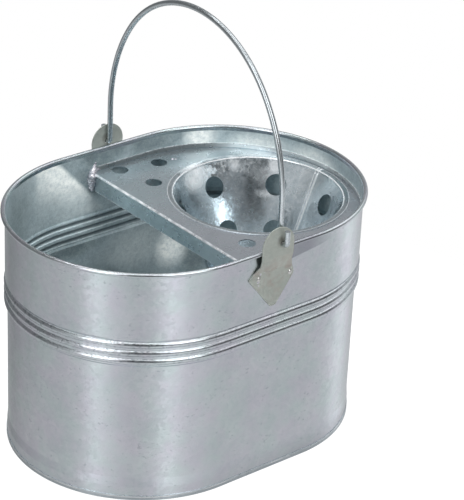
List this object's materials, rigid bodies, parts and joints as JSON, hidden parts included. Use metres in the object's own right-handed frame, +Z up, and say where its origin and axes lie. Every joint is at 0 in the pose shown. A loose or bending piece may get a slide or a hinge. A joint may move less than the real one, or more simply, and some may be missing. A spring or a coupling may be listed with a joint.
{
  "type": "mop bucket with wringer",
  "caption": "Oval galvanised steel mop bucket with swaged wall, half cover carrying a perforated wringer cone, riveted ears and a swinging wire bail.",
  "frame": {"origin": "middle of the base on the floor", "axes": "+X along the oval towards the wringer cone, +Y across the bucket towards the rear ear, +Z up"},
  "size_m": [0.3574, 0.2772, 0.4158],
  "materials": {
    "wall_zinc": "hot-dip galvanised sheet, soft spangle",
    "base_zinc": "hot-dip galvanised sheet, dull",
    "cover_zinc": "hot-dip galvanised sheet, fine spangle",
    "cone_zinc": "hot-dip galvanised sheet, coarse spangle",
    "weld_metal": "bright weld bead",
    "ear_zinc": "galvanised plate with brown smudges",
    "rivet_zinc": "bright rivet head",
    "wire_zinc": "galvanised wire"
  },
  "bodies": {
    "bucket": {"body_wall": "wall_zinc", "rim_wire": "wire_zinc", "base_pan": "base_zinc", "wringer_plate": "cover_zinc", "wringer_cone": "cone_zinc", "cone_floor": "cone_zinc", "corner_welds": "weld_metal", "ear_front": "ear_zinc", "ear_rear": "ear_zinc", "ear_rivets": "rivet_zinc"},
    "bail": {"bail": "wire_zinc"}
  },
  "joints": [
    {"name": "bail_swing", "type": "hinge", "parent": "bucket", "child": "bail", "pos_m": [0.0048, 0, 0.2365], "axis": [0, 1, 0], "range_deg": [-90, 90]}
  ]
}
